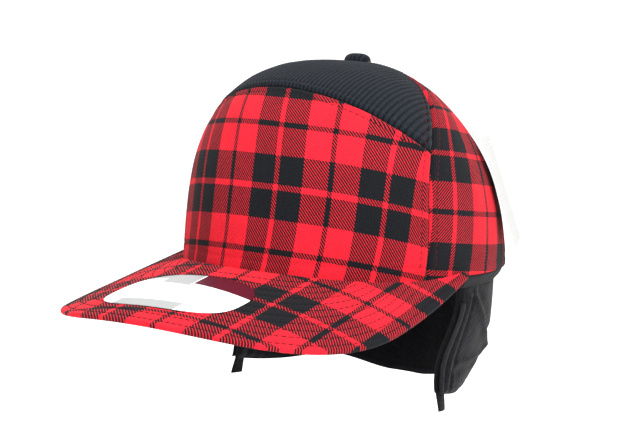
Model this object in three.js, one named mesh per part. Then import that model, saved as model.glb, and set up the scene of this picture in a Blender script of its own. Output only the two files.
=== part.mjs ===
// A plaid cap with a bent brim and a fold-down band of ear and nape flaps, in millimetres.
// +Z is up, the brim points along -Y, the wearer's left is +X, and the origin is the centre of the head opening.
import * as THREE from "three";

// Crown: an oval opening under a dome whose upright sections are superellipses.
const HALF_WIDTH = 86;
const HALF_LENGTH = 100;
const CROWN_HEIGHT = 109.3;
const ROUNDNESS = { front: 3.26, side: 2.24, back: 1.75 };
const TOP_HOLE_CLIMB = 87.7;

// Seams, as turns from the front and climbs from the opening, in degrees.
const FRONT_SEAM = { low: 64.5, high: 97.5 };
const REAR_SEAM = { low: 122, high: 138 };
const ARC_TOP_CLIMB = 49.8;
const ARC_FALL = 0.0036;
const FRONT_SKIRT = 4;
const SKIRT_END_TURN = 82;

// Layers of the crown, as depths from its outer face.
const SEAM_GAP = 0.4;
const PANEL_THICKNESS = 1.4;
const BACKING = { depth: 2.2, thickness: 0.6 };
const TAPE_HALF_WIDTH = 6;
const TAPE_END_CLIMB = 79;
const SWEATBAND = { depth: 3.4, thickness: 1.4, low: 0.4, high: 17, joinTurn: 178.8 };

// Brim: a flat pattern rolled to one radius, then tilted down towards the front.
const BRIM = {
  rollRadius: 222,
  tilt: 0.225,
  lift: 22,
  halfWidth: 97.2,
  shoulder: 99.6,
  reach: 86,
  roundness: 2.3,
  endTurn: 80,
  sideEnd: 0,
  rootHalfWidth: 87,
};
const BRIM_BOARD_THICKNESS = 1.2;
const BRIM_COVER_THICKNESS = 0.5;
const BRIM_LAYER_GAP = 0.25;
const BRIM_BOARD_INSET = 3;
const CROWN_TO_BRIM_GAP = 0.4;
const STICKER = { across: -12, ahead: 143, halfLength: 42, halfWidth: 24, thickness: 0.3, gap: 0.3 };

// Flaps: a padded band that hangs from a fixed root band under the crown's edge.
const FLAP_TOP_DROP = 9.2;
const FLAP_TOP_INSET = 5.5;
const FLAP_SPAN = 70;
const EAR = { front: 84, rear: 131.3 };
const NAPE_START = 132.7;
const ROOT_BAND = { start: 83, topDrop: 0.4, bottomDrop: 7.8, topDepth: 1, thickness: 3.5 };
const FLAP_SHELL_THICKNESS = 1.2;
const FLAP_PAD_THICKNESS = 1.4;
const FLAP_LAYER_GAP = 0.6;
const FLAP_UP_STEPS = 11;
const FLAP_PAD_INSET = 4;
const EAR_STRIP = { width: 4, thickness: 0.8, topDrop: 16 };
const EAR_TAB = { width: 8, length: 8, thickness: 1.4 };

// Button on top and its washer inside.
const BUTTON = { radius: 7.4, height: 4.4, postRadius: 1.5, postDrop: 6, footRadius: 3, footHeight: 0.8 };
const WASHER = { innerRadius: 2, outerRadius: 7, topDrop: 3.6, thickness: 0.8 };

// Card that swings from a plastic loop at the left rear seam.
const TAG = {
  turn: 122.6,
  climb: 42,
  standOff: 1.6,
  facing: 24,
  lean: 20.6,
  width: 58,
  length: 62,
  thickness: 0.6,
  holeOut: 9,
  holeFall: 5.3,
  holeDrop: 4,
  holeRadius: 2.2,
  loopHalfWidth: 0.8,
  loopWire: 0.35,
  loopPastHole: 1.6,
};

const MATERIALS = {
  plaid: { color: 0xc3273a, roughness: 0.92 },
  rib: { color: 0x1c2127, roughness: 0.95 },
  fleece: { color: 0x24262b, roughness: 0.95 },
  lining: { color: 0x17181b, roughness: 0.95 },
  wadding: { color: 0xd9d6cf, roughness: 1 },
  buckram: { color: 0x2b2c2f, roughness: 0.9 },
  board: { color: 0x8a8c8e, roughness: 0.6 },
  tape: { color: 0x202125, roughness: 0.85 },
  steel: { color: 0xb9bcc0, roughness: 0.35, metalness: 1 },
  card: { color: 0xf4f4f2, roughness: 0.6 },
  plastic: { color: 0xf2f2f0, roughness: 0.3 },
};

const { degToRad, lerp, clamp, smoothstep } = THREE.MathUtils;
const hat = new THREE.Group();
const finishes = new Map();

function finish(name) {
  if (!finishes.has(name)) {
    finishes.set(name, new THREE.MeshStandardMaterial({ metalness: 0, ...MATERIALS[name] }));
  }
  return finishes.get(name);
}

function addPiece(name, geometry, finishName) {
  const mesh = new THREE.Mesh(geometry, finish(finishName));
  mesh.name = name;
  hat.add(mesh);
  return mesh;
}

// A closed sheet: a unit box whose corners go where place(across, up, out) puts them, each from 0 to 1.
function bentSheet(acrossSteps, upSteps, place) {
  const geometry = new THREE.BoxGeometry(1, 1, 1, acrossSteps, upSteps, 1);
  const position = geometry.attributes.position;
  for (let i = 0; i < position.count; i++) {
    const point = place(position.getX(i) + 0.5, position.getY(i) + 0.5, position.getZ(i) + 0.5);
    position.setXYZ(i, point.x, point.y, point.z);
  }
  splitLikeOuterFace(geometry);
  geometry.computeVertexNormals();
  return geometry;
}

// The inner face's quads take the outer face's diagonals, so that the sheet keeps one thickness.
function splitLikeOuterFace(geometry) {
  const corners = geometry.index.array;
  const { start, count } = geometry.groups[5];
  for (let i = start; i < start + count; i += 6) {
    const [a, b, d, , c] = corners.slice(i, i + 6);
    corners.set([a, b, c, a, c, d], i);
  }
}

// The same piece on the other side of the hat, with its faces turned back to face outwards.
function mirrored(geometry) {
  const copy = geometry.clone().scale(-1, 1, 1);
  const corners = copy.index.array;
  for (let i = 0; i < corners.length; i += 3) {
    [corners[i], corners[i + 1]] = [corners[i + 1], corners[i]];
  }
  copy.computeVertexNormals();
  return copy;
}

function addPair(name, geometry, finishName) {
  addPiece(`left_${name}`, geometry, finishName);
  addPiece(`right_${name}`, mirrored(geometry), finishName);
}

// ---- Crown ----

function roundnessAt(turn) {
  const ahead = Math.cos(degToRad(turn));
  if (ahead > 0) return lerp(ROUNDNESS.side, ROUNDNESS.front, ahead);
  return lerp(ROUNDNESS.side, ROUNDNESS.back, (-ahead) ** 0.6);
}

// turn: degrees from the front towards the wearer's left; climb: degrees up the dome, or below 0 millimetres down.
function crownPoint(turn, climb, depth) {
  const upAngle = degToRad(Math.max(climb, 0));
  const power = roundnessAt(turn);
  const reach = (Math.cos(upAngle) ** power + Math.sin(upAngle) ** power) ** (-1 / power);
  const outward = reach * Math.cos(upAngle);
  return new THREE.Vector3(
    (HALF_WIDTH - depth) * Math.sin(degToRad(turn)) * outward,
    -(HALF_LENGTH - depth) * Math.cos(degToRad(turn)) * outward,
    (CROWN_HEIGHT - depth) * reach * Math.sin(upAngle) + Math.min(climb, 0),
  );
}

function frontSeam(climb) {
  return lerp(FRONT_SEAM.low, FRONT_SEAM.high, smoothstep(climb, 20, 95));
}

function rearSeam(climb) {
  return lerp(REAR_SEAM.low, REAR_SEAM.high, smoothstep(climb, 20, 95));
}

function arcClimb(turn) {
  return ARC_TOP_CLIMB - ARC_FALL * turn * turn;
}

// How many degrees of turn cover a length along the crown at a place on it.
function turnFor(length, turn, climb) {
  const point = crownPoint(turn, climb, 0);
  return THREE.MathUtils.radToDeg(length / Math.hypot(point.x, point.y));
}

// A sheet over part of the crown. area gives its side turns at a climb, and its low and high climbs at a turn.
function crownSheet(area, depth, thickness, acrossSteps, upSteps) {
  return bentSheet(acrossSteps, upSteps, (across, up, out) => {
    let turn = lerp(area.from(20), area.to(20), across);
    let climb = 0;
    for (let pass = 0; pass < 6; pass++) {
      climb = lerp(area.low(turn), area.high(turn), up);
      const margin = area.margin || SEAM_GAP / 2;
      const start = area.from(climb) + turnFor(margin, area.from(climb), climb);
      const end = area.to(climb) - turnFor(margin, area.to(climb), climb);
      turn = lerp(start, end, across);
    }
    return crownPoint(turn, climb, depth + thickness * (1 - out));
  });
}

function skirtClimb(turn) {
  const share = clamp((SKIRT_END_TURN - Math.abs(turn)) / (SKIRT_END_TURN - FRONT_SEAM.low), 0, 1);
  return -FRONT_SKIRT * share;
}

function addCrownPanels() {
  const arcGap = 0.11;
  const topClimb = () => TOP_HOLE_CLIMB;
  const front = {
    from: (climb) => -frontSeam(climb),
    to: frontSeam,
    low: () => -FRONT_SKIRT,
    high: (turn) => arcClimb(turn) - arcGap,
  };
  const top = { ...front, low: (turn) => arcClimb(turn) + arcGap, high: topClimb };
  addPiece("front_panel", crownSheet(front, 0, PANEL_THICKNESS, 20, 10), "plaid");
  addPiece("top_panel", crownSheet(top, 0, PANEL_THICKNESS, 20, 8), "rib");
  const side = { from: frontSeam, to: rearSeam, low: skirtClimb, high: topClimb };
  const back = { ...side, from: rearSeam, to: () => 180 };
  addPair("side_panel", crownSheet(side, 0, PANEL_THICKNESS, 7, 15), "plaid");
  addPair("back_panel", crownSheet(back, 0, PANEL_THICKNESS, 7, 15), "plaid");
}

// A tape that covers a seam on the inside, from the opening to just short of the button.
function seamTape(seam) {
  const halfTurn = (climb) => turnFor(TAPE_HALF_WIDTH, seam(climb), climb);
  const area = {
    from: (climb) => seam(climb) - halfTurn(climb),
    to: (climb) => seam(climb) + halfTurn(climb),
    low: () => 0.6,
    high: () => TAPE_END_CLIMB,
  };
  return crownSheet(area, BACKING.depth, BACKING.thickness, 1, 13);
}

function addCrownBackings() {
  const clearOfTape = TAPE_HALF_WIDTH + 2;
  const inner = {
    from: (climb) => -frontSeam(climb),
    to: frontSeam,
    margin: clearOfTape,
  };
  const tapeHalfClimb = 3;
  const buckram = { ...inner, low: () => 0.6, high: (turn) => arcClimb(turn) - tapeHalfClimb - 1 };
  const crossTape = {
    ...inner,
    low: (turn) => arcClimb(turn) - tapeHalfClimb,
    high: (turn) => arcClimb(turn) + tapeHalfClimb,
  };
  const { depth, thickness } = BACKING;
  addPiece("front_buckram", crownSheet(buckram, depth, thickness, 18, 8), "buckram");
  addPiece("cross_seam_tape", crownSheet(crossTape, depth, thickness, 18, 1), "tape");
  addPair("front_seam_tape", seamTape(frontSeam), "tape");
  addPair("rear_seam_tape", seamTape(rearSeam), "tape");
  addPiece("back_seam_tape", seamTape(() => 180), "tape");
}

function addSweatband() {
  const area = {
    from: () => -SWEATBAND.joinTurn,
    to: () => SWEATBAND.joinTurn,
    low: () => SWEATBAND.low,
    high: () => SWEATBAND.high,
  };
  addPiece("sweatband", crownSheet(area, SWEATBAND.depth, SWEATBAND.thickness, 44, 1), "tape");
}

function addButton() {
  const base = CROWN_HEIGHT + 0.3;
  const { radius, height, postRadius, postDrop, footRadius, footHeight } = BUTTON;
  const profile = [
    [0, base - postDrop],
    [footRadius, base - postDrop],
    [footRadius, base - postDrop + footHeight],
    [postRadius, base - postDrop + footHeight],
    [postRadius, base],
    [radius, base],
    [radius, base + height * 0.35],
    [radius * 0.86, base + height * 0.7],
    [radius * 0.55, base + height * 0.93],
    [0, base + height],
  ].map(([x, y]) => new THREE.Vector2(x, y));
  const washerTop = CROWN_HEIGHT - WASHER.topDrop;
  const washer = [
    [WASHER.innerRadius, washerTop - WASHER.thickness],
    [WASHER.outerRadius, washerTop - WASHER.thickness],
    [WASHER.outerRadius, washerTop],
    [WASHER.innerRadius, washerTop],
    [WASHER.innerRadius, washerTop - WASHER.thickness],
  ].map(([x, y]) => new THREE.Vector2(x, y));
  addPiece("crown_button", new THREE.LatheGeometry(profile, 16).rotateX(Math.PI / 2), "rib");
  addPiece("button_washer", new THREE.LatheGeometry(washer, 16).rotateX(Math.PI / 2), "steel");
}

// ---- Brim ----

// across and ahead are distances on the flat pattern, and above is the height over its middle layer.
function brimPoint(across, ahead, above) {
  const roll = across / BRIM.rollRadius;
  const x = (BRIM.rollRadius + above) * Math.sin(roll);
  const height = (BRIM.rollRadius + above) * Math.cos(roll) - BRIM.rollRadius;
  const cosTilt = Math.cos(BRIM.tilt);
  const sinTilt = Math.sin(BRIM.tilt);
  return new THREE.Vector3(
    x,
    -ahead * cosTilt - height * sinTilt,
    -ahead * sinTilt + height * cosTilt + BRIM.lift,
  );
}

// Where a layer of the brim meets the crown's outer face at a turn, on its flat pattern.
function brimRoot(turn, above) {
  const x = (HALF_WIDTH + CROWN_TO_BRIM_GAP) * Math.sin(degToRad(turn));
  const y = -(HALF_LENGTH + CROWN_TO_BRIM_GAP) * Math.cos(degToRad(turn));
  const radius = BRIM.rollRadius + above;
  const roll = Math.asin(x / radius);
  const height = radius * Math.cos(roll) - BRIM.rollRadius;
  const ahead = (-y - height * Math.sin(BRIM.tilt)) / Math.cos(BRIM.tilt);
  return new THREE.Vector2(BRIM.rollRadius * roll, ahead);
}

// Below 0 inside the pattern's outer edge, and above 0 outside it.
function beyondBrimEdge(across, ahead, inset) {
  const halfWidth = BRIM.halfWidth - inset;
  const pastShoulder = ahead - BRIM.shoulder;
  if (pastShoulder > 0) {
    const side = (Math.abs(across) / halfWidth) ** BRIM.roundness;
    return side + (pastShoulder / (BRIM.reach - inset)) ** BRIM.roundness - 1;
  }
  const share = clamp((ahead - BRIM.sideEnd) / (BRIM.shoulder - BRIM.sideEnd), 0, 1);
  const rootHalfWidth = BRIM.rootHalfWidth - inset;
  const edge = lerp(rootHalfWidth, halfWidth, Math.sin((share * Math.PI) / 2));
  return Math.abs(across) / edge - 1;
}

// The outer edge straight out from the pattern's origin through a root point.
function brimEdge(root, inset) {
  let inside = root.length();
  let outside = BRIM.shoulder + BRIM.reach + 20;
  const direction = root.clone().normalize();
  for (let step = 0; step < 40; step++) {
    const middle = (inside + outside) / 2;
    if (beyondBrimEdge(direction.x * middle, direction.y * middle, inset) > 0) outside = middle;
    else inside = middle;
  }
  return direction.multiplyScalar(inside);
}

function brimSheet(bottom, thickness, inset, acrossSteps, aheadSteps) {
  return bentSheet(acrossSteps, aheadSteps, (across, back, up) => {
    const above = bottom + thickness * up;
    const root = brimRoot(lerp(-BRIM.endTurn, BRIM.endTurn, across), above);
    const place = brimEdge(root, inset).lerp(root, back);
    return brimPoint(place.x, place.y, above);
  });
}

function addBrim() {
  const boardHalf = BRIM_BOARD_THICKNESS / 2;
  const coverStart = boardHalf + BRIM_LAYER_GAP;
  const cover = BRIM_COVER_THICKNESS;
  addPiece("brim_top_cover", brimSheet(coverStart, cover, 0, 30, 4), "plaid");
  addPiece("brim_board", brimSheet(-boardHalf, BRIM_BOARD_THICKNESS, BRIM_BOARD_INSET, 30, 4), "board");
  addPiece("brim_under_cover", brimSheet(-coverStart - cover, cover, 0, 30, 4), "rib");
  const stickerBottom = coverStart + cover + STICKER.gap;
  const sticker = bentSheet(8, 6, (across, ahead, up) => {
    const x = across * 2 - 1;
    const y = 1 - ahead * 2;
    const round = 1 / Math.max(1e-9, Math.hypot(x, y)) * Math.max(Math.abs(x), Math.abs(y));
    return brimPoint(
      STICKER.across + STICKER.halfLength * x * round,
      STICKER.ahead + STICKER.halfWidth * y * round,
      stickerBottom + STICKER.thickness * up,
    );
  });
  addPiece("size_sticker", sticker, "card");
}

// ---- Flaps ----

// How far the flaps' outer face stands inside the crown's outline, at a turn and a drop below the opening. The lower
// part of the band curls in, most of all behind the ear.
function flapInset(turn, drop) {
  const fromBack = Math.min(turn, 360 - turn);
  const atFront = 11 * smoothstep(drop, 15, 56) - 4 * smoothstep(drop, 60, 82);
  const behindEar = 20 * clamp((drop - 34) / 44, 0, 1) ** 1.8;
  const atBack = 19 * ((drop - FLAP_TOP_DROP) / FLAP_SPAN) ** 2;
  const toEar = clamp((fromBack - 84) / 40, 0, 1);
  const toBack = clamp((fromBack - 124) / 41, 0, 1);
  return FLAP_TOP_INSET + lerp(lerp(atFront, behindEar, toEar), atBack, toBack);
}

function flapHem(turn) {
  const fromBack = Math.min(turn, 360 - turn);
  if (fromBack < 132) return 71 - 4 * ((fromBack - 110) / 26) ** 2;
  return lerp(68.3, 76, smoothstep(fromBack, 132, 172));
}

// turn runs from the front past the left ear and round the back.
function flapPoint(turn, drop, inward) {
  const inset = flapInset(turn, drop) + inward;
  const x = (HALF_WIDTH - inset) * Math.sin(degToRad(turn));
  return new THREE.Vector3(x, -(HALF_LENGTH - inset) * Math.cos(degToRad(turn)), -drop);
}

function flapSheet(area, inward, thickness, acrossSteps, upSteps) {
  return bentSheet(acrossSteps, upSteps, (across, up, out) => {
    const turn = lerp(area.start, area.end, across);
    const drop = lerp(area.bottom(turn), area.top, up);
    return flapPoint(turn, drop, inward + thickness * (1 - out));
  });
}

const FLAP_PAD_INWARD = FLAP_SHELL_THICKNESS + FLAP_LAYER_GAP;
const FLAP_LINING_INWARD = FLAP_PAD_INWARD + FLAP_PAD_THICKNESS + FLAP_LAYER_GAP;

// A flap's shell, pad and lining, each given to add(name, geometry, finishName).
function addFlapLayers(add, name, start, end, acrossSteps) {
  const whole = { start, end, top: FLAP_TOP_DROP, bottom: flapHem };
  const inset = FLAP_PAD_INSET;
  const insetTurn = THREE.MathUtils.radToDeg(inset / HALF_WIDTH);
  const middle = {
    start: start + insetTurn,
    end: end - insetTurn,
    top: FLAP_TOP_DROP + inset,
    bottom: (turn) => flapHem(turn) - inset,
  };
  const sheet = (area, inward, thickness) => flapSheet(area, inward, thickness, acrossSteps, FLAP_UP_STEPS);
  add(`${name}_shell`, sheet(whole, 0, FLAP_SHELL_THICKNESS), "fleece");
  add(`${name}_pad`, sheet(middle, FLAP_PAD_INWARD, FLAP_PAD_THICKNESS), "wadding");
  add(`${name}_lining`, sheet(whole, FLAP_LINING_INWARD, FLAP_SHELL_THICKNESS), "lining");
}

function addEarTrim() {
  const turnWidth = (width) => THREE.MathUtils.radToDeg(width / (HALF_WIDTH - 8));
  const strip = {
    start: EAR.front,
    end: EAR.front + turnWidth(EAR_STRIP.width),
    top: EAR_STRIP.topDrop,
    bottom: flapHem,
  };
  const stripInward = -FLAP_LAYER_GAP - EAR_STRIP.thickness;
  addPair("ear_flap_strip", flapSheet(strip, stripInward, EAR_STRIP.thickness, 1, FLAP_UP_STEPS), "tape");
  const tabEnd = EAR.front + turnWidth(EAR_TAB.width);
  const tabTop = flapHem(tabEnd) + FLAP_LAYER_GAP;
  const tab = {
    start: EAR.front,
    end: tabEnd,
    top: tabTop,
    bottom: () => tabTop + EAR_TAB.length,
  };
  addPair("ear_flap_tab", flapSheet(tab, 1.2, EAR_TAB.thickness, 1, 2), "tape");
}

function addFlaps() {
  addFlapLayers(addPair, "ear_flap", EAR.front, EAR.rear, 8);
  addEarTrim();
  addFlapLayers(addPiece, "nape_flap", NAPE_START, 360 - NAPE_START, 16);
}

// The fixed band slopes in from the crown's edge to the top of the flaps.
function addRootBand() {
  const { start, topDrop, bottomDrop, topDepth, thickness } = ROOT_BAND;
  const band = bentSheet(36, 1, (across, up, out) => {
    const turn = lerp(start, 360 - start, across);
    const drop = lerp(bottomDrop, topDrop, up);
    const depth = lerp(FLAP_TOP_INSET, topDepth, up) + thickness * (1 - out);
    return crownPoint(turn, -drop, depth).setZ(-drop);
  });
  addPiece("flap_root_band", band, "fleece");
}

// ---- Swing tag ----

// The loop leaves the seam at the anchor, and the card leans outward on its way down to clear the crown's side.
function addSwingTag() {
  const anchor = crownPoint(TAG.turn, TAG.climb, -TAG.standOff);
  const outward = new THREE.Vector3(Math.cos(degToRad(TAG.facing)), Math.sin(degToRad(TAG.facing)), 0);
  const sideways = new THREE.Vector3(-outward.y, outward.x, 0);
  const toHole = outward.clone().multiplyScalar(TAG.holeOut).setZ(-TAG.holeFall);
  const hole = anchor.clone().add(toHole);

  const outline = new THREE.Shape();
  const half = TAG.width / 2;
  outline.moveTo(-half, TAG.holeDrop);
  outline.lineTo(-half, TAG.holeDrop - TAG.length);
  outline.lineTo(half, TAG.holeDrop - TAG.length);
  outline.lineTo(half, TAG.holeDrop);
  outline.closePath();
  outline.holes.push(new THREE.Path().absarc(0, 0, TAG.holeRadius, 0, Math.PI * 2, true));
  const cardSettings = { depth: TAG.thickness, bevelEnabled: false, curveSegments: 10 };
  const card = new THREE.ExtrudeGeometry(outline, cardSettings).translate(0, 0, -TAG.thickness / 2);
  const lean = degToRad(TAG.lean);
  const up = outward.clone().multiplyScalar(-Math.sin(lean)).setZ(Math.cos(lean));
  const cardAxes = new THREE.Matrix4().makeBasis(sideways, up, sideways.clone().cross(up));
  const cardMesh = addPiece("tag_card", card, "card");
  cardMesh.applyMatrix4(cardAxes);
  cardMesh.position.copy(hole);

  const along = toHole.clone().normalize();
  const loopLength = toHole.length() + TAG.loopPastHole;
  const loopAxes = new THREE.Matrix4().makeBasis(along, sideways.clone().cross(along), sideways);
  const loopMesh = addPiece("tag_loop", longLoop(loopLength), "plastic");
  loopMesh.applyMatrix4(loopAxes);
  loopMesh.position.copy(anchor).addScaledVector(along, loopLength / 2);
}

// A ring cut in two and pulled apart along X until it has the length.
function longLoop(length) {
  const loop = new THREE.TorusGeometry(TAG.loopHalfWidth, TAG.loopWire, 6, 14);
  const position = loop.attributes.position;
  const pull = length / 2 - TAG.loopHalfWidth;
  for (let i = 0; i < position.count; i++) {
    const x = position.getX(i);
    position.setX(i, x + Math.sign(x) * pull);
  }
  return loop;
}

addCrownPanels();
addCrownBackings();
addSweatband();
addButton();
addBrim();
addRootBand();
addFlaps();
addSwingTag();

export default hat;
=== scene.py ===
"""A padded plaid cap with a bent brim and fold-down ear and nape flaps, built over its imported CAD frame."""
import math

import bpy
import numpy as np
from mathutils import Matrix, Vector, noise


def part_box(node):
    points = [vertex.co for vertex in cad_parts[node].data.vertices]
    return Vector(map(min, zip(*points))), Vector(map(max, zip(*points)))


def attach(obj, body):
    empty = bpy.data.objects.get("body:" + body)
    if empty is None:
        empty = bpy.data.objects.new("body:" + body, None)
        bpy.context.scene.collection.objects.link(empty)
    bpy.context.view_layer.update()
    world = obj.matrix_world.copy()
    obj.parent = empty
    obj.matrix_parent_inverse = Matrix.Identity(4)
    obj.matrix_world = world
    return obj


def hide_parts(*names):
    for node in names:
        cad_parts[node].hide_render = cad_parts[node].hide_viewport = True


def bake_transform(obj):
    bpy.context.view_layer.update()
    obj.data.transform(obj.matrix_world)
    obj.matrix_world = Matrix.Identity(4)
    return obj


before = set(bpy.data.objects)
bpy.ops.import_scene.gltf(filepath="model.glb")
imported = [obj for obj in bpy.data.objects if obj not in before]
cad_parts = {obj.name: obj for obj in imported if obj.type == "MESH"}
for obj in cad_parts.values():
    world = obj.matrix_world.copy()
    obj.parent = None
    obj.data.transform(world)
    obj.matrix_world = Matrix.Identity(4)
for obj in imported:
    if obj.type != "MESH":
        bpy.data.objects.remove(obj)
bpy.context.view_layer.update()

MM = 0.001

# The crown, as in the CAD: an oval opening under a dome with superellipse sections. Lengths are in
# millimetres.
HALF_WIDTH = 86.0
HALF_LENGTH = 100.0
CROWN_HEIGHT = 109.3
ROUNDNESS = {"front": 3.26, "side": 2.24, "back": 1.75}
TOP_HOLE_CLIMB = 87.7
FRONT_SKIRT = 4.0
PANEL_THICKNESS = 1.4
PANEL_CLOTH_THICKNESS = 0.6
HIGHEST_PUFF = 0.9
BAND_STITCH_RISE = 5.5
RIB_PITCH = 2.2
RIB_RELIEF = 0.45
RIB_SINK = 0.22
SEAM_EDGE = 1.2
STITCH_INSET = 4.6
STITCH_LENGTH = 2.6
STITCH_PITCH = 3.4
STITCH_SINK = 0.1
ARC_MM_PER_CLIMB = 1.75
ARC_CLIMB = 49.8
ARC_DROOP = 0.0036
ARC_GAP_CLIMB = 0.11
SKIRT_TURNS = (64.5, 82.0)
SEAM_GAP = 0.2

# The brim's flat pattern, its roll and its tilt.
ROLL_RADIUS = 222.0
BRIM_TILT = 0.225
BRIM_LIFT = 22.0
BRIM_HALF_WIDTH = 97.2
BRIM_SHOULDER = 99.6
BRIM_REACH = 86.0
BRIM_ROUNDNESS = 2.3
BRIM_END_TURN = 80.0
BRIM_ROOT_HALF_WIDTH = 87.0
BRIM_HALF_THICKNESS = 1.35
BRIM_CLOTH_THICKNESS = 0.5
BRIM_LINING_THICKNESS = 0.45
BRIM_STITCH_START = 5.0
BRIM_STITCH_END = 82.0
BRIM_STITCH_SPACING = 7.0
BRIM_STITCH_SINK = 0.14
BRIM_GROOVE_DEPTH = 0.32
BRIM_GROOVE_WIDTH = 0.75
STICKER_CENTRE = (-9.0, 143.0)
STICKER_HALF_SIZE = (40.0, 24.0)
STICKER_SQUARENESS = 2.9
STICKER_LIFT = 0.45
STICKER_THICKNESS = 0.2

# The flaps.
FLAP_TOP_DROP = 9.2
FLAP_TOP_INSET = 5.5
FLAP_SPAN = 70.0
FLAP_THICKNESS = 5.0
EAR_TURNS = (84.0, 131.3)
NAPE_TURNS = (132.7, 227.3)
FLAP_START_DROP = 7.6
EAR_REAR_TURN = 124.0
BACK_TURN = 165.0
FRONT_CURL = 11.0
FRONT_CURL_DROPS = (15.0, 56.0)
TAB_RETURN = 4.0
TAB_RETURN_DROPS = (60.0, 82.0)
REAR_CURL = 20.0
REAR_CURL_START = 34.0
REAR_CURL_SPAN = 44.0
REAR_CURL_POWER = 1.8
BACK_CURL = 19.0
EAR_HEM = {"deepest": 71.0, "at": 110.0, "rise": 4.0, "over": 26.0}
NAPE_HEM = {"start": 68.3, "middle": 76.0, "from": 132.0, "to": 172.0}
BINDING = {"width": 4.0, "top": 16.0, "inward": -0.75, "thickness": 0.8}
TAB = {"width": 8.0, "above_hem": 1.5, "below_hem": 9.9, "inward": 1.2, "thickness": 2.0}
TRIM_RADIUS = 78.0
TRIM_CLOTH = (4, 50)
ROOT_BAND = {"turns": (83.0, 277.0), "drops": (0.4, 7.8), "top_depth": 1.0, "thickness": 3.5}


# ---- Camera ----

CAMERA_DISTANCE = 0.9
CAMERA_AZIMUTH = 32.45
CAMERA_ELEVATION = 6.86
CAMERA_ROLL = 3.2
CAMERA_LENS = 88.93
CAMERA_SHIFT = (-0.0382, 0.0651)


def add_camera():
    azimuth, elevation = math.radians(CAMERA_AZIMUTH), math.radians(CAMERA_ELEVATION)
    back = Vector((
        math.sin(azimuth) * math.cos(elevation),
        -math.cos(azimuth) * math.cos(elevation),
        math.sin(elevation),
    ))
    right = Vector((math.cos(azimuth), math.sin(azimuth), 0))
    up = back.cross(right)
    turned = Matrix((right, up, back)).transposed() @ Matrix.Rotation(math.radians(CAMERA_ROLL), 3, "Z")
    data = bpy.data.cameras.new("camera")
    data.lens = CAMERA_LENS
    data.sensor_width = 36
    data.shift_x, data.shift_y = CAMERA_SHIFT
    data.clip_start = 0.05
    camera = bpy.data.objects.new("camera", data)
    camera.matrix_world = Matrix.Translation(back * CAMERA_DISTANCE) @ turned.to_4x4()
    bpy.context.scene.collection.objects.link(camera)
    bpy.context.scene.camera = camera


# ---- Small helpers ----

def smoothstep(x, low, high):
    t = np.clip((x - low) / (high - low), 0, 1)
    return t * t * (3 - 2 * t)


def bell(distance, centre, width):
    """1 at the centre, falling to nothing a few widths away."""
    return np.exp(-(((distance - centre) / width) ** 2))


def noise_at(points, size, seed=0.0):
    """Smooth noise from -1 to 1 at points in millimetres, with lumps of about this size."""
    flat = points.reshape(-1, 3) / size + seed
    values = [noise.noise(Vector(p)) for p in flat]
    return np.array(values).reshape(points.shape[:-1])


def grid(across_steps, up_steps):
    """Two arrays from 0 to 1, one along each side of a grid."""
    across, up = np.linspace(0, 1, across_steps + 1), np.linspace(0, 1, up_steps + 1)
    return np.meshgrid(across, up, indexing="ij")


def running_length(points, axis):
    """The distance along a grid's lines from their first point, in the points' unit."""
    steps = np.linalg.norm(np.diff(points, axis=axis), axis=-1)
    start = np.zeros_like(np.take(steps, [0], axis=axis))
    return np.concatenate([start, np.cumsum(steps, axis=axis)], axis=axis)


def declare_sheet(smooth):
    """Works out the area of a piece's smooth surface, given in millimetres, in square metres, and does
    nothing with it.
    """
    along, rise = running_length(smooth, 0), running_length(smooth, 1)
    sides = smooth[1:, :-1] - smooth[:-1, :-1]
    rises = smooth[:-1, 1:] - smooth[:-1, :-1]
    width, length = along[-1].max(), rise[:, -1].max()
    area = min(np.linalg.norm(np.cross(sides, rises), axis=-1).sum(), width * length)
    area = area * MM * MM


def mirror_grid(points):
    return points[::-1] * np.array([-1, 1, 1])


def add_object(name, vertices, faces):
    mesh = bpy.data.meshes.new(name)
    mesh.from_pydata([tuple(v) for v in vertices], [], faces)
    mesh.validate()
    mesh.shade_smooth()
    made = bpy.data.objects.new(name, mesh)
    bpy.context.scene.collection.objects.link(made)
    return made


def grid_faces(rows, columns, first=0, flip=False):
    faces = []
    for i in range(rows - 1):
        for j in range(columns - 1):
            a = first + i * columns + j
            quad = (a, a + columns, a + columns + 1, a + 1)
            faces.append(quad[::-1] if flip else quad)
    return faces


def add_sheet(name, outer, inner, cloth):
    """A closed sheet between two grids of points in millimetres. cloth is each point's fabric place."""
    rows, columns = outer.shape[:2]
    count = rows * columns
    vertices = np.concatenate([outer.reshape(-1, 3), inner.reshape(-1, 3)]) * MM
    faces = grid_faces(rows, columns) + grid_faces(rows, columns, count, flip=True)
    border = [i * columns for i in range(rows)]
    border += [(rows - 1) * columns + j for j in range(1, columns)]
    border += [i * columns + columns - 1 for i in range(rows - 2, -1, -1)]
    border += list(range(columns - 2, 0, -1))
    for here, there in zip(border, border[1:] + border[:1]):
        faces.append((there, here, here + count, there + count))
    made = add_object(name, vertices, faces)
    set_cloth(made, np.concatenate([cloth.reshape(-1, 2)] * 2))
    return made


def set_cloth(made, places):
    """Stores each vertex's place on the fabric as a UV map."""
    layer = made.data.uv_layers.new(name="cloth")
    corners = np.empty(len(made.data.loops), dtype=np.int32)
    made.data.loops.foreach_get("vertex_index", corners)
    layer.data.foreach_set("uv", places[corners].astype(np.float32).ravel())


def paint(made, *materials):
    made.data.materials.clear()
    for material in materials:
        made.data.materials.append(material)


# ---- Crown surface ----

def roundness(turn):
    ahead = np.cos(np.radians(turn))
    front = ROUNDNESS["side"] + (ROUNDNESS["front"] - ROUNDNESS["side"]) * ahead
    back = ROUNDNESS["side"] + (ROUNDNESS["back"] - ROUNDNESS["side"]) * np.abs(ahead) ** 0.6
    return np.where(ahead > 0, front, back)


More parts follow.
